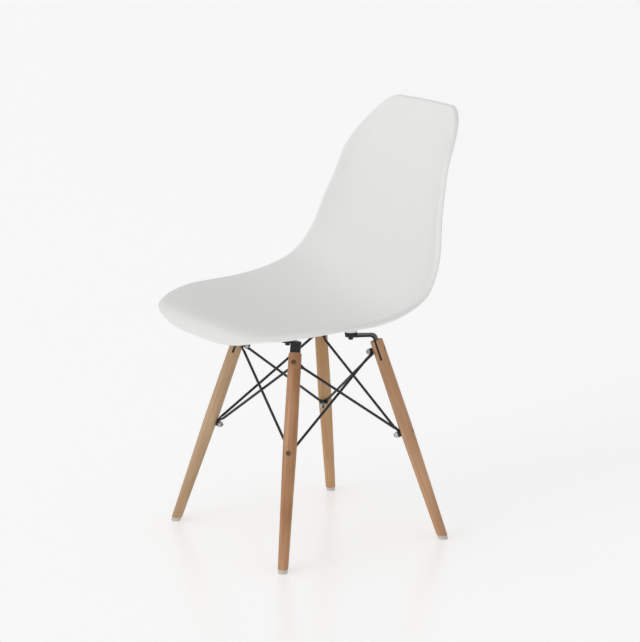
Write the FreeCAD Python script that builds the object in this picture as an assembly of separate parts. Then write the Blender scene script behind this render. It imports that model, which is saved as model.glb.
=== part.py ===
"""Moulded plastic shell chair on a four-leg dowel base.

Millimetres. +Z is up, the sitter faces -Y, and +X is the sitter's left.
The origin is on the floor, under the middle of the chair's overall box.
"""
import FreeCAD, Part
import math
import os

os.makedirs("parts", exist_ok=True)
Vector = FreeCAD.Vector
UP = Vector(0, 0, 1)

# Overall sizes of the shell
seat_width = 464.0            # across the widest section, inside the curled edges
seat_depth = 334.0            # front edge to the bend, along the floor
pan_height = 410.0            # lowest point of the pan above the floor
back_rise = 392.0             # pan to the top edge, before it curls
bend_place = 98.5             # where the back starts, behind the middle of the base

# Shell
shell_wall = 5.0
lip_length = 15.0             # strip along the edge that curls under
lip_turn_side = 80.0          # degrees that the sides and the top curl
lip_turn_front = 14.0         # degrees that the front edge goes on curling
late_rise = 0.5               # share of the side rise that comes close to the edge
boss_radius = 12.0
insert_across_flats = 9.0
insert_length = 9.0
insert_well = 1.5             # free depth above an insert

# Legs, measured to their centre lines
foot_half_x = 190.0
foot_half_y = 182.0
top_half_x = 94.0
top_half_y = 91.0
leg_top_drop = 29.0           # leg tops below the pan's lowest point
leg_foot_radius = 9.6
leg_belly_radius = 13.0
leg_belly_share = 0.57        # place of the belly, as a share of the leg's length
leg_top_radius = 12.0
leg_chamfer = 2.0

# Foot glides
glide_height = 7.0
glide_radius = 8.8
glide_stem_radius = 2.6
glide_stem_length = 18.0
stem_end_gap = 1.0            # free depth past the stem

# Brackets
strip_thickness = 4.0
strip_width = 19.4
strip_bend_radius = 8.0       # inside of the bend
slot_depth = 39.0
bracket_end_radius = 11.0
front_strip_drop = 13.0       # middle of the level strip below the pan's lowest point
rear_strip_drop = 20.0
front_mount_in = (30.0, 3.0)  # screw places, in from the leg's top along X and Y
rear_mount_in = (25.0, 40.5)
slot_end_gap = 0.5            # tang to the bottom of its slot
pad_thickness = 5.0
pad_radius = 11.5

# Screws from the brackets into the shell
screw_radius = 3.0
screw_across_flats = 8.0
screw_head_height = 4.6
screw_flange_radius = 6.2
screw_flange_height = 1.2
screw_end_gap = 1.0           # screw's end below the insert's

# Bolts through the legs
bolt_radius = 3.0
bolt_head_radius = 4.6
bolt_head_height = 3.4
bolt_head_sink = 0.8
socket_across_flats = 4.0
socket_depth = 2.0
upper_bolt_drop = 18.0        # below the leg's top, along the leg
lower_bolt_rise = 217.5       # above the leg's foot, along the leg
seat_flat_depth = 0.25
seat_flat_radius = 8.0
washer_radius = 6.5
washer_thickness = 1.2
nut_across_flats = 10.0
nut_height = 5.0
bolt_tail = 2.2               # thread showing past the nut

# Brace rods
rod_radius = 2.5
eye_thickness = 2.5
eye_radius = 5.6
eye_reach = 9.0
eye_tab_share = 0.85          # tab's width as a share of the eye's
rod_neck = 11.0
neck_bow = 0.125              # how far the neck's middle lies off its chord, as a share
section_turn = math.pi / 8    # half the turn between an eight-sided section's corners

# Clearances
hole_clearance = 0.3          # screws and bolts in their holes
thread_clearance = 0.05       # threads, and inserts in their bosses
face_gap = 0.02               # faces that are clamped together
slot_clearance = 0.15         # each side of a strip in its slot
counterbore_clearance = 0.25
rod_pass_gap = 0.4            # two rods where they cross
sewing_gap = 0.01             # faces of the shell along their shared edges

# Sections of the shell from the front edge to the bend: share of the run, the
# midline's distance from the bend as a share of the seat's depth and its height
# over the pan, share of the full width, then the side edge's distance and height.
seat_sections = [
    (0.00, 1.000, 16, 0.930, 0.988, 20),
    (0.06, 0.966, 26, 0.944, 0.955, 34),
    (0.13, 0.888, 29, 0.965, 0.873, 41),
    (0.24, 0.700, 22, 0.982, 0.688, 45),
    (0.36, 0.461, 10, 0.994, 0.461, 46),
    (0.48, 0.192, 1, 0.983, 0.192, 53),
    (0.56, 0.000, 1, 0.946, 0.012, 71),
]
# Sections of the back up to its top edge: share of the run, the midline's
# distance behind the bend and its height as a share of the back's rise, share of
# the full width, then the side edge's distance and height.
back_sections = [
    (0.63, 55, 0.046, 0.899, 29, 0.251),
    (0.69, 88, 0.152, 0.848, 50, 0.349),
    (0.76, 109, 0.317, 0.786, 64, 0.480),
    (0.85, 128, 0.532, 0.710, 84, 0.638),
    (0.93, 146, 0.761, 0.662, 106, 0.816),
    (1.00, 168, 1.000, 0.640, 141, 1.004),
]
front_corner = (0.30, 0.84)   # reach of a rounded corner along the run and across
top_corner = (0.12, 0.46)
front_steps, corner_steps, side_steps, top_steps = 2, 7, 9, 3
curl_start = 0.02             # run over which the lip's curl grows from front to side
curl_reach = 0.20

middle_run = 0.5              # the wall's rings close in on this place
pan_runs = (0.1, 0.6)         # runs between which the legs are mounted
middle_share = 0.02           # size of the flat middle, as a share of the outline
ring_count = 7

corners = [
    ("front_right", -1, -1),
    ("front_left", 1, -1),
    ("rear_left", 1, 1),
    ("rear_right", -1, 1),
]


def natural_spline(places, values):
    """Natural cubic spline through the values, as a function of place."""
    count = len(places)
    steps = [places[i + 1] - places[i] for i in range(count - 1)]
    bends = [0.0] * count
    carry = [0.0] * count
    for i in range(1, count - 1):
        turn = (values[i + 1] - values[i]) / steps[i] - (values[i] - values[i - 1]) / steps[i - 1]
        pivot = 2 * (steps[i - 1] + steps[i]) - steps[i - 1] * carry[i - 1]
        carry[i] = steps[i] / pivot
        bends[i] = (6 * turn - steps[i - 1] * bends[i - 1]) / pivot
    for i in range(count - 2, 0, -1):
        bends[i] -= carry[i] * bends[i + 1]

    def value(place):
        i = 0
        while i < count - 2 and place > places[i + 1]:
            i += 1
        after = places[i + 1] - place
        before = place - places[i]
        step = steps[i]
        return ((bends[i] * after ** 3 + bends[i + 1] * before ** 3) / (6 * step)
                + (values[i] / step - bends[i] * step / 6) * after
                + (values[i + 1] / step - bends[i + 1] * step / 6) * before)

    return value


def shell_splines():
    """Splines along the run for the midline, the half width and the side edge."""
    runs = [row[0] for row in seat_sections + back_sections]
    mid_y = [bend_place - row[1] * seat_depth for row in seat_sections]
    mid_y += [bend_place + row[1] for row in back_sections]
    mid_z = [pan_height + row[2] for row in seat_sections]
    mid_z += [pan_height + row[2] * back_rise for row in back_sections]
    half_width = [row[3] * seat_width / 2 for row in seat_sections + back_sections]
    side_y = [bend_place - row[4] * seat_depth for row in seat_sections]
    side_y += [bend_place + row[4] for row in back_sections]
    side_z = [pan_height + row[5] for row in seat_sections]
    side_z += [pan_height + row[5] * back_rise for row in back_sections]
    return [natural_spline(runs, values) for values in (mid_y, mid_z, half_width, side_y, side_z)]


mid_y, mid_z, half_width, side_y, side_z = shell_splines()


def shell_point(run, across):
    """Point on the sitting face, with across from -1 to 1."""
    rise = (1 - late_rise) * across ** 2 + late_rise * across ** 4
    y = mid_y(run) + (side_y(run) - mid_y(run)) * rise
    z = mid_z(run) + (side_z(run) - mid_z(run)) * rise
    return Vector(half_width(run) * across, y, z)


def shell_normal(run, across):
    """Unit normal of the sitting face, towards the sitter."""
    step = 1e-4
    along = shell_point(run + step, across) - shell_point(run - step, across)
    side = shell_point(run, across + step) - shell_point(run, across - step)
    normal = side.cross(along)
    return normal.normalize()


def outline():
    """Right half of the shell's outline as (run, across), front middle to top middle."""
    front_run, front_across = front_corner
    top_run, top_across = top_corner
    points = []
    for i in range(front_steps):
        points.append((0.0, (1 - front_across) * i / front_steps))
    for i in range(corner_steps):
        turn = math.pi / 2 * i / corner_steps
        points.append((front_run * (1 - math.cos(turn)), 1 - front_across * (1 - math.sin(turn))))
    for i in range(side_steps):
        points.append((front_run + (1 - top_run - front_run) * i / side_steps, 1.0))
    for i in range(corner_steps):
        turn = math.pi / 2 * i / corner_steps
        points.append((1 - top_run * (1 - math.sin(turn)), 1 - top_across * (1 - math.cos(turn))))
    for i in range(top_steps + 1):
        points.append((1.0, (1 - top_across) * (1 - i / top_steps)))
    return points


def smooth_step(value):
    held = min(max(value, 0.0), 1.0)
    return held * held * (3 - 2 * held)


def edge_frames():
    """Edge point, normal, outward direction and curl angle along the outline."""
    edge = outline()
    points = [shell_point(run, across) for run, across in edge]
    frames = []
    for i, (run, across) in enumerate(edge):
        if i == 0 or i == len(edge) - 1:
            tangent = Vector(1, 0, 0) if i == 0 else Vector(-1, 0, 0)
        else:
            tangent = points[i + 1] - points[i - 1]
        normal = shell_normal(run, across)
        outward = tangent.cross(normal)
        outward.normalize()
        share = smooth_step((run - curl_start) / curl_reach)
        curl = math.radians(lip_turn_front + (lip_turn_side - lip_turn_front) * share)
        frames.append((points[i], normal, outward, curl))
    return frames


def lip_rings(frames, depth):
    """Four rings of control points across the curled lip, set a depth below its face."""
    rings = [[], [], [], []]
    for point, normal, outward, curl in frames:
        radius = lip_length / curl
        middle = point - normal * radius
        reach = 4 / 3 * math.tan(curl / 4) * (radius - depth)
        last_normal = normal * math.cos(curl) + outward * math.sin(curl)
        last_outward = outward * math.cos(curl) - normal * math.sin(curl)
        first = middle + normal * (radius - depth)
        last = middle + last_normal * (radius - depth)
        for ring, place in zip(rings, (first, first + outward * reach, last - last_outward * reach, last)):
            ring.append(place)
    return rings


def length_shares(points):
    """Shares of the length along a line of points, one for each point."""
    lengths = [0.0]
    for i in range(1, len(points)):
        lengths.append(lengths[-1] + (points[i] - points[i - 1]).Length)
    return [length / lengths[-1] for length in lengths]


def ring_curve(ring):
    """Curve through half a ring that crosses the middle plane squarely at both ends."""
    curve = Part.BSplineCurve()
    curve.interpolate(Points=ring, Parameters=ring_places,
                      InitialTangent=Vector(1, 0, 0), FinalTangent=Vector(-1, 0, 0))
    return curve


def lip_face(rings):
    """Curled face whose control points are the curves through four rings."""
    curves = [ring_curve(ring) for ring in rings]
    surface = Part.BSplineSurface()
    surface.buildFromPolesMultsKnots(
        [curve.getPoles() for curve in curves], [len(rings)] * 2, curves[0].getMultiplicities(),
        [0, 1], curves[0].getKnots(), False, False, len(rings) - 1, curves[0].Degree)
    return surface.toShape()


def flattened(ring):
    """The ring moved onto the sloping plane through its two middle points."""
    front, back = ring[0], ring[-1]
    slope = (back.z - front.z) / (back.y - front.y)
    return [Vector(point.x, point.y, front.z + slope * (point.y - front.y)) for point in ring]


def wall_faces(edge, depth):
    """Right half of the shell's face a depth below the sitting face, and its flat middle."""
    rings = []
    for i in range(ring_count):
        share = middle_share + (1 - middle_share) * i / (ring_count - 1)
        places = [(middle_run + (run - middle_run) * share, across * share) for run, across in edge]
        rings.append([shell_point(*place) - shell_normal(*place) * depth for place in places])
    rings[0] = flattened(rings[0])
    curves = [ring_curve(ring) for ring in rings]
    rows = [curve.getPoles() for curve in curves]
    shares = [i / (ring_count - 1) for i in range(ring_count)]
    columns = []
    for i in range(len(rows[0])):
        column = Part.BSplineCurve()
        column.interpolate(Points=[row[i] for row in rows], Parameters=shares)
        columns.append(column)
    poles = [[column.getPole(i + 1) for column in columns] for i in range(columns[0].NbPoles)]
    surface = Part.BSplineSurface()
    surface.buildFromPolesMultsKnots(
        poles, columns[0].getMultiplicities(), curves[0].getMultiplicities(),
        columns[0].getKnots(), curves[0].getKnots(), False, False,
        columns[0].Degree, curves[0].Degree)
    right = curves[0].toShape()
    left = right.mirror(Vector(0, 0, 0), Vector(1, 0, 0))
    return surface.toShape(), Part.Face(Part.Wire([right, left]))


def shell_body():
    """Closed shell: sitting face, curled lip, edge and underside, mirrored and sewn."""
    edge = outline()
    outer = lip_rings(edge_line, 0.0)
    inner = lip_rings(edge_line, shell_wall)
    top_face, top_middle = wall_faces(edge, 0.0)
    under_face, under_middle = wall_faces(edge, shell_wall)
    faces = [top_face, lip_face(outer), lip_face(inner), under_face,
             Part.makeRuledSurface(ring_curve(outer[-1]).toShape(), ring_curve(inner[-1]).toShape())]
    faces += [face.mirror(Vector(0, 0, 0), Vector(1, 0, 0)) for face in faces]
    skin = Part.makeCompound(faces + [top_middle, under_middle])
    skin.sewShape(sewing_gap)
    body = Part.Solid(skin.Shells[0])
    if body.Volume < 0:
        body.reverse()
    return body


def run_at(y, x):
    """Share of the run in the pan where a point at width x has this y."""
    low, high = pan_runs
    for _ in range(40):
        run = (low + high) / 2
        if shell_point(run, x / half_width(run)).y < y:
            low = run
        else:
            high = run
    return run


def underside_height(x, y):
    """Height of the pan's underside over a point."""
    run = run_at(y, x)
    across = x / half_width(run)
    slope = shell_normal(run, across).z
    return shell_point(run, across).z - shell_wall / slope


class Corner:
    """One leg's directions and sizes, from the middle of the base on the floor."""

    def __init__(self, name, side, end):
        self.name = name
        self.foot = Vector(side * foot_half_x, end * foot_half_y, 0)
        top = Vector(side * top_half_x, end * top_half_y, pan_height - leg_top_drop)
        along = top - self.foot
        self.length = along.Length
        self.axis = Vector(along).normalize()
        self.inward = Vector(along.x, along.y, 0).normalize()
        self.tilt = math.atan2(math.hypot(along.x, along.y), along.z)
        self.out = Vector(UP.cross(self.inward).cross(self.axis)).normalize()
        if self.out.dot(self.inward) > 0:
            self.out = self.out * -1
        self.tangent = self.axis.cross(self.out)
        in_x, in_y = front_mount_in if end < 0 else rear_mount_in
        self.mount = Vector(side * (top_half_x - in_x), end * (top_half_y - in_y), 0)
        self.strip_height = pan_height - (front_strip_drop if end < 0 else rear_strip_drop)
        self.upper_joint = self.length - upper_bolt_drop
        self.lower_joint = lower_bolt_rise

    def put(self, shape):
        """A shape drawn along Z, with +X outwards, set on this leg's centre line."""
        placed = shape.copy()
        turn = FreeCAD.Rotation(self.out, self.tangent, self.axis, "ZXY")
        placed.Placement = FreeCAD.Placement(self.foot, turn)
        return placed

    def leg_radius(self, rise):
        """Leg radius at a distance from the foot, below or above the belly."""
        belly = leg_belly_share * self.length
        if rise < belly:
            return leg_foot_radius + (leg_belly_radius - leg_foot_radius) * rise / belly
        share = (rise - belly) / (self.length - leg_chamfer - belly)
        return leg_belly_radius + (leg_top_radius - leg_belly_radius) * share

    def inner_seat(self, rise):
        """Distance of the clamping flat from the leg's centre line."""
        return self.leg_radius(rise) - seat_flat_depth

    def head_seat(self, rise):
        """Distance of the bolt head's seat from the leg's centre line."""
        return self.leg_radius(rise) - bolt_head_height - bolt_head_sink

    def eye_place(self, rise, layer):
        """Middle of a rod's eye on a bolt, counted from the leg outwards."""
        depth = self.inner_seat(rise) + face_gap + layer * (eye_thickness + face_gap) + eye_thickness / 2
        return self.foot + self.axis * rise - self.out * depth


def rod_along_x(radius, start, length, rise):
    """Cylinder along X in a leg's own frame."""
    return Part.makeCylinder(radius, length, Vector(start, 0, rise), Vector(1, 0, 0))


def upright_hexagon(across_flats, base, height):
    """Six-sided prism along Z."""
    reach = across_flats / math.sqrt(3)
    points = []
    for i in range(7):
        turn = math.radians(60 * i)
        points.append(base + Vector(reach * math.cos(turn), reach * math.sin(turn), 0))
    return Part.Face(Part.makePolygon(points)).extrude(UP * height)


def hexagon(across_flats, start, length, rise):
    """Six-sided prism along X in a leg's own frame."""
    reach = across_flats / math.sqrt(3)
    points = []
    for i in range(7):
        turn = math.radians(60 * i)
        points.append(Vector(start, reach * math.cos(turn), rise + reach * math.sin(turn)))
    return Part.Face(Part.makePolygon(points)).extrude(Vector(length, 0, 0))


def leg(corner):
    """Turned dowel: tapered both ways, slotted at the top, cut level at the foot."""
    length = corner.length
    belly = Vector(leg_belly_radius, 0, leg_belly_share * length)
    foot_edge = Vector(leg_foot_radius, 0, 0)
    shoulder = Vector(leg_top_radius, 0, length - leg_chamfer)
    rim = Vector(leg_top_radius - leg_chamfer, 0, length)
    profile = Part.Wire([
        Part.makeLine(Vector(0, 0, 0), foot_edge),
        Part.makeLine(foot_edge, belly),
        Part.makeLine(belly, shoulder),
        Part.makeLine(shoulder, rim),
        Part.makeLine(rim, Vector(0, 0, length)),
        Part.makeLine(Vector(0, 0, length), Vector(0, 0, 0)),
    ])
    body = Part.Face(profile).revolve(Vector(0, 0, 0), UP, 360)
    slot = strip_thickness + 2 * slot_clearance
    reach = 2 * leg_belly_radius
    cuts = [Part.makeBox(slot, 2 * reach, slot_depth + reach,
                         Vector(-slot / 2, -reach, length - slot_depth))]
    for rise in (corner.lower_joint, corner.upper_joint):
        cuts.append(rod_along_x(bolt_radius + hole_clearance, -reach, 2 * reach, rise))
        cuts.append(rod_along_x(bolt_head_radius + counterbore_clearance,
                                corner.head_seat(rise), reach, rise))
        cuts.append(rod_along_x(seat_flat_radius, -reach - corner.inner_seat(rise), reach, rise))
    stem_bore = glide_stem_radius + hole_clearance
    cuts.append(Part.makeCylinder(stem_bore, glide_stem_length + stem_end_gap, Vector(0, 0, 0), UP))
    placed = corner.put(body.cut(cuts))
    floor = Part.makeBox(4 * reach, 4 * reach, glide_height + reach,
                         corner.foot - Vector(2 * reach, 2 * reach, reach))
    return placed.cut(floor)


def foot_glide(corner):
    """Plastic glide: a short slanted plug, level on the floor, with a stem in the leg."""
    reach = 4 * glide_radius
    plug = corner.put(Part.makeCylinder(glide_radius, 2 * reach, Vector(0, 0, -reach), UP))
    slab = Part.makeBox(2 * reach, 2 * reach, glide_height - face_gap,
                        corner.foot - Vector(reach, reach, 0))
    stem = corner.put(Part.makeCylinder(glide_stem_radius, glide_stem_length, Vector(0, 0, 0), UP))
    above = Part.makeBox(2 * reach, 2 * reach, reach,
                         corner.foot + Vector(-reach, -reach, glide_height / 2))
    return plug.common(slab).fuse(stem.common(above)).removeSplitter()


def bracket(corner):
    """Steel strip: a tang in the leg's slot, a bend, and a level foot under the shell."""
    half = strip_thickness / 2
    sine, cosine, slope = math.sin(corner.tilt), math.cos(corner.tilt), math.tan(corner.tilt)
    middle = strip_bend_radius + half
    centre_z = corner.strip_height - middle
    start_z = centre_z + middle * sine
    centre_r = start_z * slope + middle * cosine
    base_rise = corner.length - slot_depth + slot_end_gap

    def spot(reach, height):
        return corner.foot + corner.inward * reach + UP * height

    def round_bend(radius, turn):
        return spot(centre_r - radius * math.cos(turn), centre_z + radius * math.sin(turn))

    base = (base_rise * sine, base_rise * cosine)
    outer, inner = middle + half, middle - half
    half_turn = (corner.tilt + math.pi / 2) / 2
    base_outer = spot(base[0] - half * cosine, base[1] + half * sine)
    base_inner = spot(base[0] + half * cosine, base[1] - half * sine)
    profile = Part.Wire([
        Part.makeLine(base_outer, round_bend(outer, corner.tilt)),
        Part.Arc(round_bend(outer, corner.tilt), round_bend(outer, half_turn),
                 round_bend(outer, math.pi / 2)).toShape(),
        Part.makeLine(round_bend(outer, math.pi / 2), round_bend(inner, math.pi / 2)),
        Part.Arc(round_bend(inner, math.pi / 2), round_bend(inner, half_turn),
                 round_bend(inner, corner.tilt)).toShape(),
        Part.makeLine(round_bend(inner, corner.tilt), base_inner),
        Part.makeLine(base_inner, base_outer),
    ])
    face = Part.Face(profile)
    face.translate(corner.tangent * (-strip_width / 2))
    tang = face.extrude(corner.tangent * strip_width)

    level = corner.strip_height - half
    bend_end = spot(centre_r, level)
    mount = corner.mount + UP * level
    sides = [bend_end + corner.tangent * (strip_width / 2 * sign) for sign in (1, -1)]
    touches = []
    for near, far in (sides, sides[::-1]):
        gap = near - mount
        spread = math.acos(bracket_end_radius / gap.Length)
        angle = math.atan2(gap.y, gap.x)
        choices = []
        for sign in (1, -1):
            turn = angle + sign * spread
            choices.append(mount + Vector(math.cos(turn), math.sin(turn), 0) * bracket_end_radius)
        touches.append(max(choices, key=lambda point: (point - far).Length))
    tip_way = (mount - bend_end).normalize()
    tip = mount + tip_way * bracket_end_radius
    plan = Part.Wire([
        Part.makeLine(sides[0], touches[0]),
        Part.Arc(touches[0], tip, touches[1]).toShape(),
        Part.makeLine(touches[1], sides[1]),
        Part.makeLine(sides[1], sides[0]),
    ])
    plate = Part.Face(plan).extrude(UP * strip_thickness)
    bolt_hole = corner.put(rod_along_x(bolt_radius + hole_clearance, -strip_width,
                                       2 * strip_width, corner.upper_joint))
    screw_hole = Part.makeCylinder(screw_radius + hole_clearance, 3 * strip_thickness,
                                   mount - UP * strip_thickness, UP)
    return tang.fuse(plate).removeSplitter().cut([bolt_hole, screw_hole])


def mount_pad(corner):
    """Rubber pad between a bracket's foot and the shell's boss."""
    base = corner.mount + UP * (corner.strip_height + strip_thickness / 2 + face_gap)
    disc = Part.makeCylinder(pad_radius, pad_thickness, base, UP)
    hole = Part.makeCylinder(screw_radius + hole_clearance, pad_thickness, base, UP)
    return disc.cut(hole)


def boss_base(corner):
    """Middle of a boss's lower face."""
    return corner.mount + UP * (corner.strip_height + strip_thickness / 2 + pad_thickness + 2 * face_gap)


def seat_shell(body):
    """Shell with its four moulded bosses and their insert holes."""
    bosses = []
    holes = []
    for corner in legs:
        base = boss_base(corner)
        height = underside_height(base.x, base.y) + shell_wall / 2 - base.z
        bosses.append(Part.makeCylinder(boss_radius, height, base, UP))
        holes.append(upright_hexagon(insert_across_flats + 2 * thread_clearance,
                                     base, insert_length + insert_well))
    return body.fuse(bosses).cut(holes)


def shell_insert(corner):
    base = boss_base(corner)
    sleeve = upright_hexagon(insert_across_flats, base, insert_length)
    return sleeve.cut(Part.makeCylinder(screw_radius + thread_clearance, insert_length, base, UP))


def mount_screw(corner):
    """Flanged hexagon screw from below, through the bracket and pad into the insert."""
    seat = corner.strip_height - strip_thickness / 2 - face_gap
    flange_base = corner.mount + UP * (seat - screw_flange_height)
    flange = Part.makeCylinder(screw_flange_radius, screw_flange_height, flange_base, UP)
    head = upright_hexagon(screw_across_flats, flange_base - UP * screw_head_height, screw_head_height)
    end = boss_base(corner).z + insert_length - screw_end_gap
    shank = Part.makeCylinder(screw_radius, end - seat, corner.mount + UP * seat, UP)
    return head.fuse([flange, shank]).removeSplitter()


def stack_start(corner, rise):
    """Inner end of the two rod eyes on a bolt, as a distance from the leg's centre line."""
    return corner.inner_seat(rise) + 2 * (eye_thickness + face_gap)


def leg_bolt(corner, rise):
    """Bolt whose head lies in the leg's counterbore and whose tail takes the nut."""
    seat = corner.head_seat(rise) + face_gap
    end = stack_start(corner, rise) + washer_thickness + nut_height + bolt_tail + 3 * face_gap
    shank = rod_along_x(bolt_radius, -end, end + seat, rise)
    head = rod_along_x(bolt_head_radius, seat, bolt_head_height, rise)
    socket = hexagon(socket_across_flats, seat + bolt_head_height - socket_depth, socket_depth, rise)
    return corner.put(head.fuse(shank).removeSplitter().cut(socket))


def leg_washer(corner, rise):
    start = stack_start(corner, rise) + face_gap
    disc = rod_along_x(washer_radius, -start - washer_thickness, washer_thickness, rise)
    hole = rod_along_x(bolt_radius + hole_clearance, -start - washer_thickness, washer_thickness, rise)
    return corner.put(disc.cut(hole))


def leg_nut(corner, rise):
    start = stack_start(corner, rise) + washer_thickness + 2 * face_gap
    block = hexagon(nut_across_flats, -start - nut_height, nut_height, rise)
    hole = rod_along_x(bolt_radius + thread_clearance, -start - nut_height, nut_height, rise)
    return corner.put(block.cut(hole))


def flattened_section(middle, normal, wide, half_wide, half_thick):
    """Eight-sided section round a middle point, with its long axis along wide."""
    thick = normal.cross(wide)
    points = []
    for i in range(9):
        turn = section_turn * (2 * i + 1)
        points.append(middle + wide * (half_wide * math.cos(turn)) + thick * (half_thick * math.sin(turn)))
    return Part.makePolygon(points)


def rod_end(eye, bolt_way, rod_way, neck_end):
    """Flattened eye on a bolt, its tab, and the neck that turns round into the rod."""
    tab_way = (rod_way - bolt_way * rod_way.dot(bolt_way)).normalize()
    wide = bolt_way.cross(tab_way)
    full = 1 / math.cos(section_turn)
    half = eye_thickness / 2 * full
    tab_half = eye_radius * eye_tab_share
    disc = Part.makeCylinder(eye_radius, eye_thickness, eye - bolt_way * (eye_thickness / 2), bolt_way)
    tab_end = eye + tab_way * eye_reach
    tab = Part.Face(flattened_section(eye, tab_way, wide, tab_half, half)).extrude(tab_way * eye_reach)
    middle_way = (tab_way + rod_way).normalize()
    middle_wide = (wide - middle_way * wide.dot(middle_way)).normalize()
    middle = (tab_end + neck_end) * 0.5 + (tab_way - rod_way) * (rod_neck * neck_bow)
    neck_wide = (wide - rod_way * wide.dot(rod_way)).normalize()
    neck = Part.makeLoft([
        flattened_section(tab_end, tab_way, wide, tab_half, half),
        flattened_section(middle, middle_way, middle_wide, (tab_half + rod_radius) / 2,
                          (half + rod_radius) / 2),
        flattened_section(neck_end, rod_way, neck_wide, rod_radius, rod_radius),
    ], True, True)
    return [disc, tab, neck]


def brace_rod(upper, lower, layer):
    """Rod from one leg's upper bolt to the next leg's lower bolt."""
    start = upper.eye_place(upper.upper_joint, layer)
    end = lower.eye_place(lower.lower_joint, layer)
    rod_way = (end - start).normalize()
    tabs = []
    for eye, bolt_way, sign in ((start, upper.out, 1), (end, lower.out, -1)):
        way = rod_way * sign
        tabs.append(eye + (way - bolt_way * way.dot(bolt_way)).normalize() * eye_reach)
    side = (lower.foot - upper.foot).cross(upper.axis + lower.axis).normalize()
    inward = Vector(upper.foot + lower.foot) * -1
    if side.dot(inward) < 0:
        side = side * -1
    layer_step = (eye_thickness + face_gap) * -(upper.out.dot(side) + lower.out.dot(side)) / 2
    shift = 2 * rod_radius + rod_pass_gap - layer_step
    offset = side * shift if layer else Vector(0, 0, 0)
    run_way = (tabs[1] - tabs[0]).normalize()
    run_start = tabs[0] + run_way * rod_neck + offset
    run_end = tabs[1] - run_way * rod_neck + offset
    pieces = [Part.makeCylinder(rod_radius, (run_end - run_start).Length, run_start, run_way)]
    pieces += rod_end(start, upper.out, run_way, run_start)
    pieces += rod_end(end, lower.out, run_way * -1, run_end)
    body = pieces[0].fuse(pieces[1:]).removeSplitter()
    holes = []
    for eye, bolt_way in ((start, upper.out), (end, lower.out)):
        holes.append(Part.makeCylinder(bolt_radius + hole_clearance, 4 * eye_thickness,
                                       eye - bolt_way * (2 * eye_thickness), bolt_way))
    return body.cut(holes)


legs = [Corner(*corner) for corner in corners]
edge_line = edge_frames()
ring_places = length_shares([point for point, _, _, _ in edge_line])
shell = shell_body()
nodes = {"seat_shell": seat_shell(shell)}
for corner in legs:
    nodes[corner.name + "_leg"] = leg(corner)
    nodes[corner.name + "_foot_glide"] = foot_glide(corner)
    nodes[corner.name + "_bracket"] = bracket(corner)
    nodes[corner.name + "_mount_pad"] = mount_pad(corner)
for i, corner in enumerate(legs):
    following = legs[(i + 1) % len(legs)]
    nodes["brace_rod_" + corner.name + "_to_" + following.name] = brace_rod(corner, following, 0)
    nodes["brace_rod_" + following.name + "_to_" + corner.name] = brace_rod(following, corner, 1)
nodes["shell_inserts"] = Part.makeCompound([shell_insert(corner) for corner in legs])
nodes["mount_screws"] = Part.makeCompound([mount_screw(corner) for corner in legs])
for level in ("upper", "lower"):
    rises = [corner.upper_joint if level == "upper" else corner.lower_joint for corner in legs]
    pairs = list(zip(legs, rises))
    nodes[level + "_leg_bolts"] = Part.makeCompound([leg_bolt(*pair) for pair in pairs])
    nodes[level + "_leg_washers"] = Part.makeCompound([leg_washer(*pair) for pair in pairs])
    nodes[level + "_leg_nuts"] = Part.makeCompound([leg_nut(*pair) for pair in pairs])

shell_box = shell.optimalBoundingBox(False, False)
set_forward = (shell_box.YMax + shell_box.YMin) / 2
for name, shape in nodes.items():
    shape.translate(Vector(0, -set_forward, 0))
    shape.exportStep("parts/" + name + ".step")
    box = shape.BoundBox
    print(name, len(shape.Solids), shape.isValid(), round(shape.Volume),
          [round(v, 1) for v in (box.XMin, box.YMin, box.ZMin, box.XMax, box.YMax, box.ZMax)])
print("middle of the base lies at y", round(-set_forward, 2))
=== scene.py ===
import bpy
import math
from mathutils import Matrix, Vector


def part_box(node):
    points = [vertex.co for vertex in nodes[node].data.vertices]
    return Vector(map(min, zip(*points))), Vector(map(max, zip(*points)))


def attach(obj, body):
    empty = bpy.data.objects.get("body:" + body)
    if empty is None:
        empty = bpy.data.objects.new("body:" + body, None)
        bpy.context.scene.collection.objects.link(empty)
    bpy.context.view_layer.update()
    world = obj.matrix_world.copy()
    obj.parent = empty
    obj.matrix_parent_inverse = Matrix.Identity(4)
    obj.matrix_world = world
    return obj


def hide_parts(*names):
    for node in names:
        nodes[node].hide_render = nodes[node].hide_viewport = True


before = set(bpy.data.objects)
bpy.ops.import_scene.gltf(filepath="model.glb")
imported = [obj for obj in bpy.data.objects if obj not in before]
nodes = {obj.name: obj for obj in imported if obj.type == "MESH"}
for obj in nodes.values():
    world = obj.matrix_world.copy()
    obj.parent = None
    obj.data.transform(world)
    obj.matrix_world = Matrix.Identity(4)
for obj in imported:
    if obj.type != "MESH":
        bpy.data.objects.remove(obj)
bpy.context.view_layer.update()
corners = ["front_right", "front_left", "rear_left", "rear_right"]
perMetre = 1000                   # the shell and its bosses are given in millimetres
sharpAngle = math.radians(50)     # an edge that turns more than this is bevelled and stays sharp
glideBoxes = [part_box(corner + "_foot_glide") for corner in corners]
baseY = sum((low.y + high.y) / 2 for low, high in glideBoxes) / 4     # middle of the leg base
print("frame loaded:", len(nodes), "CAD nodes, base middle at y", round(baseY, 5))


def deselectAll():
    if bpy.context.mode != "OBJECT":
        bpy.ops.object.mode_set(mode="OBJECT")
    bpy.ops.object.select_all(action="DESELECT")


def makeActive(piece):
    deselectAll()
    piece.select_set(True)
    bpy.context.view_layer.objects.active = piece


def applyModifier(piece, kind, **settings):
    makeActive(piece)
    modifier = piece.modifiers.new(kind.title(), kind)
    for name, value in settings.items():
        setattr(modifier, name, value)
    bpy.ops.object.modifier_apply(modifier=modifier.name)


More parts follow.
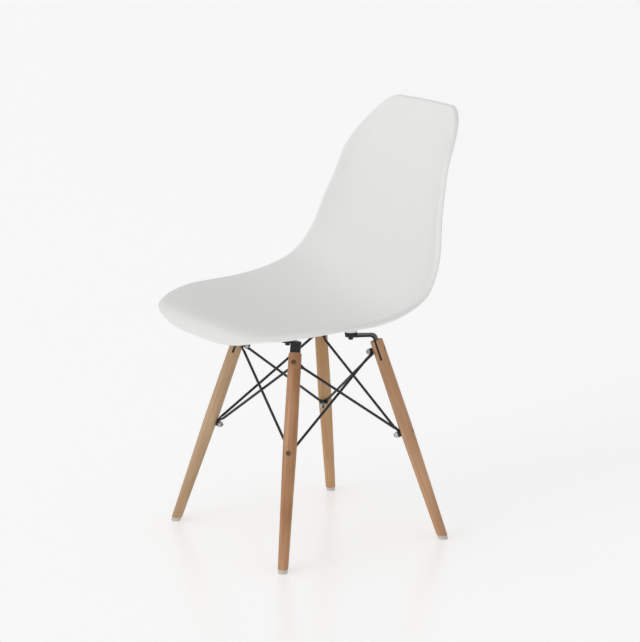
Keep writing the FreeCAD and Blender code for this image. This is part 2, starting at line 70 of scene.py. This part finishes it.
def joinPieces(pieces):
    makeActive(pieces[0])
    for piece in pieces:
        piece.select_set(True)
    bpy.ops.object.join()
    bpy.ops.object.transform_apply(location=True, rotation=True, scale=True)
    return bpy.context.object


def giveMaterial(piece, material):
    piece.data.materials.clear()
    piece.data.materials.append(material)


def grey(value):
    return (value, value, value, 1)


# Helpers for node trees
def addNode(tree, kind, x, y, **settings):
    node = tree.nodes.new(kind)
    node.location = (x, y)
    for name, value in settings.items():
        setattr(node, name, value)
    return node


def newGroup(name, inputs, outputs):
    group = bpy.data.node_groups.new(name, "ShaderNodeTree")
    for kind, label, value in inputs:
        socket = group.interface.new_socket(name=label, in_out="INPUT", socket_type=kind)
        if value is not None:
            socket.default_value = value
    for kind, label in outputs:
        group.interface.new_socket(name=label, in_out="OUTPUT", socket_type=kind)
    start = addNode(group, "NodeGroupInput", -900, 0)
    end = addNode(group, "NodeGroupOutput", 700, 0)
    return group, start, end


def newMaterial(name):
    material = bpy.data.materials.new(name)
    material.use_nodes = True
    tree = material.node_tree
    shader = next(node for node in tree.nodes if node.type == "BSDF_PRINCIPLED")
    shader.location = (500, 0)
    return material, tree, shader


surfacePattern = {"cloudDetail": 4, "grainDetail": 2, "darkTone": 0.45, "grainShare": 0.35,
                  "noiseLow": 0.45, "noiseHigh": 0.9}


# Fine grain and soft unevenness that every moulded, painted and metal finish shares
def buildSurfaceGrain():
    group, start, end = newGroup("surfaceGrain", [
        ("NodeSocketVector", "Place", None),
        ("NodeSocketColor", "Colour", grey(0.8)),
        ("NodeSocketFloat", "Colour Change", 0.03),
        ("NodeSocketFloat", "Grain Size", 900.0),
        ("NodeSocketFloat", "Cloud Size", 6.0),
        ("NodeSocketFloat", "Smooth", 0.35),
        ("NodeSocketFloat", "Rough", 0.5),
    ], [
        ("NodeSocketColor", "Colour"), ("NodeSocketFloat", "Roughness"), ("NodeSocketFloat", "Height"),
    ])
    clouds = addNode(group, "ShaderNodeTexNoise", -600, 200)
    clouds.inputs["Detail"].default_value = surfacePattern["cloudDetail"]
    grain = addNode(group, "ShaderNodeTexNoise", -600, -150)
    grain.inputs["Detail"].default_value = surfacePattern["grainDetail"]
    group.links.new(start.outputs["Place"], clouds.inputs["Vector"])
    group.links.new(start.outputs["Cloud Size"], clouds.inputs["Scale"])
    group.links.new(start.outputs["Place"], grain.inputs["Vector"])
    group.links.new(start.outputs["Grain Size"], grain.inputs["Scale"])
    darker = addNode(group, "ShaderNodeMix", 100, 300, data_type="RGBA", blend_type="MULTIPLY")
    darker.inputs["B"].default_value = grey(surfacePattern["darkTone"])
    amount = addNode(group, "ShaderNodeMath", -150, 260, operation="MULTIPLY")
    group.links.new(clouds.outputs["Fac"], amount.inputs[0])
    group.links.new(start.outputs["Colour Change"], amount.inputs[1])
    group.links.new(amount.outputs[0], darker.inputs["Factor"])
    group.links.new(start.outputs["Colour"], darker.inputs["A"])
    group.links.new(darker.outputs["Result"], end.inputs["Colour"])
    both = addNode(group, "ShaderNodeMath", -150, 0, operation="MULTIPLY_ADD")
    both.inputs[1].default_value = surfacePattern["grainShare"]
    group.links.new(grain.outputs["Fac"], both.inputs[0])
    group.links.new(clouds.outputs["Fac"], both.inputs[2])
    spread = addNode(group, "ShaderNodeMapRange", 150, 0)
    spread.inputs["From Min"].default_value = surfacePattern["noiseLow"]
    spread.inputs["From Max"].default_value = surfacePattern["noiseHigh"]
    group.links.new(both.outputs[0], spread.inputs["Value"])
    group.links.new(start.outputs["Smooth"], spread.inputs["To Min"])
    group.links.new(start.outputs["Rough"], spread.inputs["To Max"])
    group.links.new(spread.outputs["Result"], end.inputs["Roughness"])
    group.links.new(grain.outputs["Fac"], end.inputs["Height"])
    return group


dowelPattern = {
    # stretch, size per metre and detail of each noise
    "bands": ((1.0, 0.25, 0.025), 240, 3), "stains": ((1, 1, 0.3), 22, 2),
    "fibres": ((1, 1, 0.02), 1400, 4), "flecks": ((1, 1, 0.14), 1500, 1),
    # where each noise starts and stops showing, and how strongly it shows
    "bandShow": (0.35, 0.68, 0.8), "stainShow": (0.42, 0.66, 0.6),
    "fibreShow": (0.3, 0.7, 0.3), "fleckShow": (0.66, 0.74, 0.5),
    "smooth": 0.42, "rough": 0.62,
}


# Long fibres, growth bands and short flecks of a turned dowel, along Z of the given place
def buildDowelGrain():
    group, start, end = newGroup("dowelGrain", [
        ("NodeSocketVector", "Place", None),
        ("NodeSocketColor", "Light", grey(0.6)),
        ("NodeSocketColor", "Dark", grey(0.4)),
        ("NodeSocketColor", "Fleck", grey(0.3)),
    ], [
        ("NodeSocketColor", "Colour"), ("NodeSocketFloat", "Roughness"), ("NodeSocketFloat", "Height"),
    ])

    def stretched(size, scale, detail, y):
        mapping = addNode(group, "ShaderNodeMapping", -650, y)
        mapping.inputs["Scale"].default_value = size
        noise = addNode(group, "ShaderNodeTexNoise", -430, y)
        noise.inputs["Scale"].default_value = scale
        noise.inputs["Detail"].default_value = detail
        group.links.new(start.outputs["Place"], mapping.inputs["Vector"])
        group.links.new(mapping.outputs["Vector"], noise.inputs["Vector"])
        return noise

    def mixed(factor, first, second, x, y):
        mix = addNode(group, "ShaderNodeMix", x, y, data_type="RGBA")
        group.links.new(factor, mix.inputs["Factor"])
        group.links.new(first, mix.inputs["A"])
        group.links.new(second, mix.inputs["B"])
        return mix.outputs["Result"]

    def ranged(value, low, high, most, x, y):
        spread = addNode(group, "ShaderNodeMapRange", x, y)
        spread.inputs["From Min"].default_value = low
        spread.inputs["From Max"].default_value = high
        spread.inputs["To Max"].default_value = most
        group.links.new(value, spread.inputs["Value"])
        return spread.outputs["Result"]

    bands, stains, fibres, flecks = (
        stretched(*dowelPattern[name], y).outputs["Fac"]
        for name, y in (("bands", 400), ("stains", 650), ("fibres", 120), ("flecks", -160)))
    light, dark, fleck = (start.outputs[name] for name in ("Light", "Dark", "Fleck"))
    tone = mixed(ranged(bands, *dowelPattern["bandShow"], -200, 400), light, dark, 0, 400)
    stained = mixed(ranged(stains, *dowelPattern["stainShow"], -200, 650), tone, dark, 120, 500)
    threaded = mixed(ranged(fibres, *dowelPattern["fibreShow"], -200, 120), stained, dark, 240, 300)
    marks = ranged(flecks, *dowelPattern["fleckShow"], -200, -160)
    group.links.new(mixed(marks, threaded, fleck, 420, 200), end.inputs["Colour"])
    satin = addNode(group, "ShaderNodeMapRange", 200, 0)
    satin.inputs["To Min"].default_value = dowelPattern["smooth"]
    satin.inputs["To Max"].default_value = dowelPattern["rough"]
    group.links.new(fibres, satin.inputs["Value"])
    group.links.new(satin.outputs["Result"], end.inputs["Roughness"])
    pores = addNode(group, "ShaderNodeMath", 200, -200, operation="SUBTRACT")
    group.links.new(fibres, pores.inputs[0])
    group.links.new(marks, pores.inputs[1])
    group.links.new(pores.outputs[0], end.inputs["Height"])
    return group


surfaceGrain = buildSurfaceGrain()
dowelGrain = buildDowelGrain()


def connectGroup(tree, group, shader, bumpStrength, bumpDepth):
    link = tree.links.new
    link(group.outputs["Colour"], shader.inputs["Base Color"])
    link(group.outputs["Roughness"], shader.inputs["Roughness"])
    bump = addNode(tree, "ShaderNodeBump", 250, -250)
    bump.inputs["Strength"].default_value = bumpStrength
    bump.inputs["Distance"].default_value = bumpDepth
    link(group.outputs["Height"], bump.inputs["Height"])
    link(bump.outputs["Normal"], shader.inputs["Normal"])


# change is how much the colour varies, sizes are per metre, smooth and rough bound the roughness
def grainMaterial(name, finish):
    material, tree, shader = newMaterial(name)
    place = addNode(tree, "ShaderNodeTexCoord", -500, 0)
    grain = addNode(tree, "ShaderNodeGroup", -200, 0, node_tree=surfaceGrain)
    grain.inputs["Colour"].default_value = (*finish["colour"], 1)
    grain.inputs["Colour Change"].default_value = finish["change"]
    grain.inputs["Grain Size"].default_value = finish["grainSize"]
    grain.inputs["Cloud Size"].default_value = finish["cloudSize"]
    grain.inputs["Smooth"].default_value = finish["smooth"]
    grain.inputs["Rough"].default_value = finish["rough"]
    tree.links.new(place.outputs["Object"], grain.inputs["Place"])
    connectGroup(tree, grain, shader, finish["bump"], finish["bumpDepth"])
    shader.inputs["Metallic"].default_value = finish.get("metallic", 0.0)
    shader.inputs["Specular IOR Level"].default_value = finish.get("gloss", 0.5)
    return material


shellPlastic = grainMaterial("shellPlastic", {
    "colour": (0.85, 0.855, 0.84), "change": 0.03, "grainSize": 1100, "cloudSize": 5,
    "smooth": 0.36, "rough": 0.5, "bump": 0.12, "bumpDepth": 0.0002, "gloss": 0.45})
blackPaint = grainMaterial("blackPaint", {
    "colour": (0.014, 0.014, 0.015), "change": 0.2, "grainSize": 1600, "cloudSize": 30,
    "smooth": 0.34, "rough": 0.5, "bump": 0.25, "bumpDepth": 0.0001, "gloss": 0.4})
glidePlastic = grainMaterial("glidePlastic", {
    "colour": (0.60, 0.57, 0.50), "change": 0.08, "grainSize": 900, "cloudSize": 40,
    "smooth": 0.35, "rough": 0.5, "bump": 0.1, "bumpDepth": 0.0001})
padRubber = grainMaterial("padRubber", {
    "colour": (0.02, 0.02, 0.021), "change": 0.2, "grainSize": 700, "cloudSize": 40,
    "smooth": 0.7, "rough": 0.85, "bump": 0.3, "bumpDepth": 0.0002})
boltBronze = grainMaterial("boltBronze", {
    "colour": (0.17, 0.125, 0.07), "change": 0.4, "grainSize": 1200, "cloudSize": 90,
    "smooth": 0.3, "rough": 0.5, "bump": 0.2, "bumpDepth": 0.0001, "metallic": 1.0})
zincSteel = grainMaterial("zincSteel", {
    "colour": (0.55, 0.55, 0.54), "change": 0.3, "grainSize": 1300, "cloudSize": 80,
    "smooth": 0.28, "rough": 0.48, "bump": 0.2, "bumpDepth": 0.0001, "metallic": 1.0})
blackFastener = grainMaterial("blackFastener", {
    "colour": (0.03, 0.03, 0.032), "change": 0.3, "grainSize": 1400, "cloudSize": 60,
    "smooth": 0.32, "rough": 0.5, "bump": 0.2, "bumpDepth": 0.0001, "metallic": 0.6})
insertBrass = grainMaterial("insertBrass", {
    "colour": (0.68, 0.50, 0.22), "change": 0.3, "grainSize": 1300, "cloudSize": 80,
    "smooth": 0.3, "rough": 0.45, "bump": 0.2, "bumpDepth": 0.0001, "metallic": 1.0})
print("finishes ready")

shell = {
    "width": 464, "depth": 334, "panHeight": 410, "backRise": 392, "bendPlace": 98.5,
    "wall": 5.0, "lipLength": 15, "lipStart": 1.5, "curlRadius": 6.5, "sideTurn": 80, "frontTurn": 14,
    "curlStart": 0.02, "curlReach": 0.20, "lateRise": 0.5, "frontCorner": (0.30, 0.84),
    "topCorner": (0.12, 0.46), "middleRun": 0.5, "rings": 56, "lipRings": 14, "edgeRound": 1.1,
    "edgeSegments": 3, "outlineSteps": 1500, "slopeStep": 1e-4, "tangentReach": 2,
    # share of the run, middle's distance ahead of the bend and height, width, then the side edge's
    "seat": [
        (0.00, 1.000, 16, 0.930, 0.988, 20), (0.06, 0.966, 26, 0.944, 0.955, 34),
        (0.13, 0.888, 29, 0.965, 0.873, 41), (0.24, 0.700, 22, 0.982, 0.688, 45),
        (0.36, 0.461, 10, 0.994, 0.461, 46), (0.48, 0.192, 1, 0.983, 0.192, 53),
        (0.56, 0.000, 1, 0.946, 0.012, 71),
    ],
    "back": [
        (0.63, 55, 0.046, 0.899, 29, 0.251), (0.69, 88, 0.152, 0.848, 50, 0.349),
        (0.76, 109, 0.317, 0.786, 64, 0.480), (0.85, 128, 0.532, 0.710, 84, 0.638),
        (0.93, 146, 0.761, 0.662, 106, 0.816), (1.00, 168, 1.000, 0.640, 141, 1.004),
    ],
}


def naturalSpline(places, values):
    count = len(places)
    steps = [places[i + 1] - places[i] for i in range(count - 1)]
    bends, carry = [0.0] * count, [0.0] * count
    for i in range(1, count - 1):
        turn = (values[i + 1] - values[i]) / steps[i] - (values[i] - values[i - 1]) / steps[i - 1]
        pivot = 2 * (steps[i - 1] + steps[i]) - steps[i - 1] * carry[i - 1]
        carry[i] = steps[i] / pivot
        bends[i] = (6 * turn - steps[i - 1] * bends[i - 1]) / pivot
    for i in range(count - 2, 0, -1):
        bends[i] -= carry[i] * bends[i + 1]

    def value(place):
        i = 0
        while i < count - 2 and place > places[i + 1]:
            i += 1
        after, before, step = places[i + 1] - place, place - places[i], steps[i]
        return ((bends[i] * after ** 3 + bends[i + 1] * before ** 3) / (6 * step)
                + (values[i] / step - bends[i] * step / 6) * after
                + (values[i + 1] / step - bends[i + 1] * step / 6) * before)

    return value


rows = shell["seat"] + shell["back"]
runs = [row[0] for row in rows]
midY = naturalSpline(runs, [shell["bendPlace"] - row[1] * shell["depth"] for row in shell["seat"]]
                     + [shell["bendPlace"] + row[1] for row in shell["back"]])
midZ = naturalSpline(runs, [shell["panHeight"] + row[2] for row in shell["seat"]]
                     + [shell["panHeight"] + row[2] * shell["backRise"] for row in shell["back"]])
halfWidth = naturalSpline(runs, [row[3] * shell["width"] / 2 for row in rows])
sideY = naturalSpline(runs, [shell["bendPlace"] - row[4] * shell["depth"] for row in shell["seat"]]
                      + [shell["bendPlace"] + row[4] for row in shell["back"]])
sideZ = naturalSpline(runs, [shell["panHeight"] + row[5] for row in shell["seat"]]
                      + [shell["panHeight"] + row[5] * shell["backRise"] for row in shell["back"]])


# Point of the inner face in millimetres: run goes from the front edge to the top, across from -1 to 1
def shellPoint(run, across):
    late = shell["lateRise"]
    rise = (1 - late) * across ** 2 + late * across ** 4
    return Vector((halfWidth(run) * across,
                   midY(run) + (sideY(run) - midY(run)) * rise,
                   midZ(run) + (sideZ(run) - midZ(run)) * rise))


def shellNormal(run, across):
    step = shell["slopeStep"]
    along = shellPoint(run + step, across) - shellPoint(run - step, across)
    side = shellPoint(run, across + step) - shellPoint(run, across - step)
    return side.cross(along).normalized()


outlineParts = 5     # front edge, front corner, side, top corner and top edge


# Right half of the rounded outline, from the front middle to the top middle
def outlinePlace(share):
    (frontRun, frontAcross), (topRun, topAcross) = shell["frontCorner"], shell["topCorner"]
    part, piece = math.modf(min(share, outlineParts - 1e-6))
    turn = part * math.pi / 2
    if piece == 0:
        return 0.0, (1 - frontAcross) * part
    if piece == 1:
        return frontRun * (1 - math.cos(turn)), 1 - frontAcross * (1 - math.sin(turn))
    if piece == 2:
        return frontRun + (1 - topRun - frontRun) * part, 1.0
    if piece == 3:
        return 1 - topRun * (1 - math.sin(turn)), 1 - topAcross * (1 - math.cos(turn))
    return 1.0, (1 - topAcross) * (1 - part)


def makeOutline():
    count = shell["outlineSteps"]
    shares = [outlineParts * i / count for i in range(count + 1)]
    places = [outlinePlace(share) for share in shares]
    lengths = [0.0]
    for i in range(count):
        lengths.append(lengths[-1] + (shellPoint(*places[i + 1]) - shellPoint(*places[i])).length)

    def lengthAt(share):
        return lengths[round(share / outlineParts * count)]

    def placeAt(length):
        low, high = 0, count
        while high - low > 1:
            middle = (low + high) // 2
            if lengths[middle] <= length:
                low = middle
            else:
                high = middle
        part = (length - lengths[low]) / (lengths[high] - lengths[low])
        return outlinePlace(shares[low] + (shares[high] - shares[low]) * part)

    return lengthAt(1.5), lengthAt(3.5), lengths[-1], placeAt


frontCut, topCut, wholeLength, placeAt = makeOutline()


# How far along the outline a step of the grid's square ring lies, and on which side
def ringPlace(i, j, ring):
    side = 1 if i >= 0 else -1
    i = abs(i)
    if j == -ring:
        length = frontCut * i / ring
    elif j == ring:
        length = topCut + (wholeLength - topCut) * (ring - i) / ring
    else:
        length = frontCut + (topCut - frontCut) * (j + ring) / (2 * ring)
    run, across = placeAt(length)
    return run, across * side, length


# Point of the lip, which curls down from the edge, more at the sides and back than at the front
def lipPoint(run, across, length, share):
    side = 1 if across >= 0 else -1
    reach = shell["tangentReach"]
    back, ahead = placeAt(max(length - reach, 0)), placeAt(min(length + reach, wholeLength))
    tangent = shellPoint(ahead[0], ahead[1] * side) - shellPoint(back[0], back[1] * side)
    normal = shellNormal(run, across)
    outward = tangent.cross(normal).normalized() * side
    held = min(max((run - shell["curlStart"]) / shell["curlReach"], 0), 1)
    held *= held * (3 - 2 * held)
    turned = math.radians(shell["frontTurn"] + (shell["sideTurn"] - shell["frontTurn"]) * held)
    start = shell["lipStart"] * held
    radius = (shell["lipLength"] - start) / turned
    radius += (shell["curlRadius"] - radius) * held
    travelled = shell["lipLength"] * share
    curled = min(max(travelled - start, 0), radius * turned)
    angle = curled / radius
    level, flange = min(travelled, start), max(travelled - start - curled, 0)
    return (shellPoint(run, across)
            + outward * (level + radius * math.sin(angle) + flange * math.cos(angle))
            - normal * (radius * (1 - math.cos(angle)) + flange * math.sin(angle)))


def makeShell():
    deselectAll()
    rings, lip, middle = shell["rings"], shell["lipRings"], shell["middleRun"]
    total = rings + lip
    bpy.ops.mesh.primitive_grid_add(x_subdivisions=2 * total, y_subdivisions=2 * total, size=2)
    piece = bpy.context.object
    piece.name = "moulded_seat_shell"
    for vertex in piece.data.vertices:
        i, j = round(vertex.co.x * total), round(vertex.co.y * total)
        ring = max(abs(i), abs(j))
        if ring == 0:
            point = shellPoint(middle, 0.0)
        else:
            run, across, length = ringPlace(i, j, ring)
            if ring <= rings:
                share = ring / rings
                point = shellPoint(middle + (run - middle) * share, across * share)
            else:
                point = lipPoint(run, across, length, (ring - rings) / lip)
        vertex.co = point / perMetre + Vector((0, baseY, 0))
    applyModifier(piece, "SOLIDIFY", thickness=shell["wall"] / perMetre, offset=-1, use_even_offset=True)
    applyModifier(piece, "BEVEL", width=shell["edgeRound"] / perMetre, segments=shell["edgeSegments"],
                  limit_method="ANGLE", angle_limit=sharpAngle)
    return piece


bosses = {"radius": 12.0, "sides": 64, "sink": 1.5, "rimRound": 0.6, "rimSegments": 2,
          "holeFlats": 9.1}


# One round boss over each pad, its top just inside the pan's wall, with a six-sided insert hole
def addBosses(piece):
    radius, sides = bosses["radius"] / perMetre, bosses["sides"]
    flats = bosses["holeFlats"] / perMetre
    padBoxes = [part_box(corner + "_mount_pad") for corner in corners]
    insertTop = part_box("shell_inserts")[1].z
    holeDepth = insertTop - max(high.z for low, high in padBoxes)
    solids, cutters = [], []
    for low, high in padBoxes:
        base = Vector(((low.x + high.x) / 2, (low.y + high.y) / 2, high.z))
        deselectAll()
        bpy.ops.mesh.primitive_cylinder_add(vertices=sides, radius=radius, depth=2 * radius,
                                            location=base + Vector((0, 0, radius)))
        solid = bpy.context.object
        bpy.ops.object.transform_apply(location=True, rotation=True, scale=True)
        for vertex in solid.data.vertices:
            if vertex.co.z > base.z + radius:
                below = Vector((vertex.co.x, vertex.co.y, base.z))
                wallPlace = piece.ray_cast(below, Vector((0, 0, 1)))[1]
                vertex.co.z = wallPlace.z + bosses["sink"] / perMetre
        applyModifier(solid, "BEVEL", width=bosses["rimRound"] / perMetre, segments=bosses["rimSegments"],
                      limit_method="ANGLE", angle_limit=sharpAngle)
        solids.append(solid)
        deselectAll()
        bpy.ops.mesh.primitive_cylinder_add(vertices=6, radius=flats / math.sqrt(3), depth=2 * holeDepth,
                                            location=base, rotation=(0, 0, math.pi / 6))
        cutters.append(bpy.context.object)
    for operation, parts in (("UNION", solids), ("DIFFERENCE", cutters)):
        tool = joinPieces(parts)
        applyModifier(piece, "BOOLEAN", operation=operation, object=tool, solver="EXACT")
        bpy.data.objects.remove(tool)


shellPiece = makeShell()
addBosses(shellPiece)
makeActive(shellPiece)
bpy.ops.object.shade_smooth_by_angle(angle=sharpAngle)
giveMaterial(shellPiece, shellPlastic)
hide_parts("seat_shell")
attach(shellPiece, "root")
print("shell ready:", len(shellPiece.data.polygons), "faces")

# Each leg's light and dark tones are its wood's grain colours with painted light and painted shade in them,
# read off that leg's lit side and shaded low part, so they differ from leg to leg
legWood = {
    "grainAndPaintedLightTones": {
        "front_right": ((0.56, 0.39, 0.235), (0.41, 0.25, 0.13)),
        # front left: its light tone is raised as a painted highlight and its dark tone lowered as painted
        # shade, and the grain spreads both over the whole leg
        "front_left": ((0.62, 0.36, 0.19), (0.30, 0.12, 0.04)),
        "rear_left": ((0.60, 0.355, 0.20), (0.41, 0.21, 0.10)),
        "rear_right": ((0.60, 0.37, 0.18), (0.41, 0.21, 0.085)),
    },
    "fleck": (0.22, 0.105, 0.05), "bump": 0.25, "bumpDepth": 0.0002,
    "plankShift": Vector((0.13, 0.07, 0.41)),
    "inwardLean": Vector((0.096, 0.091, 0.381)),     # from the foot to the leg's top
}


def woodMaterial(corner, shift):
    glideLow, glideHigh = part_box(corner + "_foot_glide")
    foot = Vector(((glideLow.x + glideHigh.x) / 2, (glideLow.y + glideHigh.y) / 2, 0))
    lean = legWood["inwardLean"].copy()
    lean.x *= -1 if foot.x > 0 else 1
    lean.y *= -1 if foot.y > baseY else 1
    material, tree, shader = newMaterial(corner + "_wood")
    place = addNode(tree, "ShaderNodeTexCoord", -800, 0)
    turn = lean.rotation_difference(Vector((0, 0, 1))).to_matrix()
    mapping = addNode(tree, "ShaderNodeMapping", -550, 0)
    mapping.inputs["Rotation"].default_value = turn.to_euler()
    mapping.inputs["Location"].default_value = shift - turn @ foot
    grain = addNode(tree, "ShaderNodeGroup", -200, 0, node_tree=dowelGrain)
    light, dark = legWood["grainAndPaintedLightTones"][corner]
    for name, colour in (("Light", light), ("Dark", dark), ("Fleck", legWood["fleck"])):
        grain.inputs[name].default_value = (*colour, 1)
    tree.links.new(place.outputs["Object"], mapping.inputs["Vector"])
    tree.links.new(mapping.outputs["Vector"], grain.inputs["Place"])
    connectGroup(tree, grain, shader, legWood["bump"], legWood["bumpDepth"])
    return material


for index, corner in enumerate(corners):
    giveMaterial(nodes[corner + "_leg"], woodMaterial(corner, legWood["plankShift"] * index))
finishes = {
    "bracket": blackPaint, "brace_rod": blackPaint, "mount_pad": padRubber, "foot_glide": glidePlastic,
    "leg_bolts": boltBronze, "leg_washers": zincSteel, "leg_nuts": zincSteel,
    "mount_screws": blackFastener, "shell_inserts": insertBrass,
}
for name, node in nodes.items():
    for word, material in finishes.items():
        if word in name:
            giveMaterial(node, material)
print("CAD pieces finished")

floor = {"size": 60.0, "drop": 0.0005, "tone": 0.95, "glow": 0.233, "roughness": 0.28}


def makeFloor():
    deselectAll()
    bpy.ops.mesh.primitive_plane_add(size=floor["size"], location=(0, 0, -floor["drop"]))
    piece = bpy.context.object
    piece.name = "studio_floor"
    material, tree, shader = newMaterial("studioFloor")
    shader.inputs["Base Color"].default_value = grey(floor["tone"])
    shader.inputs["Roughness"].default_value = floor["roughness"]
    shader.inputs["Emission Color"].default_value = grey(1)
    shader.inputs["Emission Strength"].default_value = floor["glow"]
    giveMaterial(piece, material)


# Azimuths count from straight ahead of the chair, towards the sitter's left, and the sky dims towards dimWay
lights = {"skyBright": 0.80, "skyDim": 0.56, "dimWay": (0.5, 0.87, 0),
          "azimuth": 5, "elevation": 22, "strength": 0.52, "spread": 40, "distance": 4}


def directionTo(azimuth, elevation):
    turn, lift = math.radians(azimuth), math.radians(elevation)
    return Vector((math.sin(turn) * math.cos(lift), -math.cos(turn) * math.cos(lift), math.sin(lift)))


def makeLights():
    world = bpy.data.worlds.new("studioWorld")
    bpy.context.scene.world = world
    world.use_nodes = True
    tree = world.node_tree
    sky = tree.nodes["Background"]
    sky.inputs["Color"].default_value = grey(1)
    way = addNode(tree, "ShaderNodeTexCoord", -800, 0)
    turned = addNode(tree, "ShaderNodeVectorMath", -600, 0, operation="DOT_PRODUCT")
    turned.inputs[1].default_value = lights["dimWay"]
    fade = addNode(tree, "ShaderNodeMapRange", -400, 0)
    fade.inputs["From Min"].default_value = -1
    fade.inputs["To Min"].default_value = lights["skyBright"]
    fade.inputs["To Max"].default_value = lights["skyDim"]
    tree.links.new(way.outputs["Generated"], turned.inputs[0])
    tree.links.new(turned.outputs["Value"], fade.inputs["Value"])
    tree.links.new(fade.outputs["Result"], sky.inputs["Strength"])
    towards = directionTo(lights["azimuth"], lights["elevation"])
    deselectAll()
    bpy.ops.object.light_add(type="SUN", location=towards * lights["distance"])
    key = bpy.context.object
    key.name = "key_light"
    key.data.energy = lights["strength"]
    key.data.angle = math.radians(lights["spread"])
    key.rotation_euler = (-towards).to_track_quat("-Z", "Y").to_euler()


view = {"azimuth": 56.3, "elevation": 13.3, "distance": 4.852, "aim": 0.4106,
        "focalPixels": 2574, "centre": (308, 321), "image": (640, 642)}


def makeCamera():
    (width, height), (acrossPixels, downPixels) = view["image"], view["centre"]
    back = directionTo(view["azimuth"], view["elevation"])
    bpy.ops.object.camera_add(location=Vector((0, baseY, view["aim"])) + back * view["distance"])
    camera = bpy.context.object
    camera.rotation_euler = (-back).to_track_quat("-Z", "Y").to_euler()
    camera.data.lens = view["focalPixels"] * camera.data.sensor_width / height
    camera.data.shift_x = (width / 2 - acrossPixels) / height
    camera.data.shift_y = (downPixels - height / 2) / height
    bpy.context.scene.camera = camera


makeFloor()
makeLights()
makeCamera()
bpy.context.scene.view_settings.view_transform = "Standard"
print("studio ready")

bpy.context.view_layer.update()
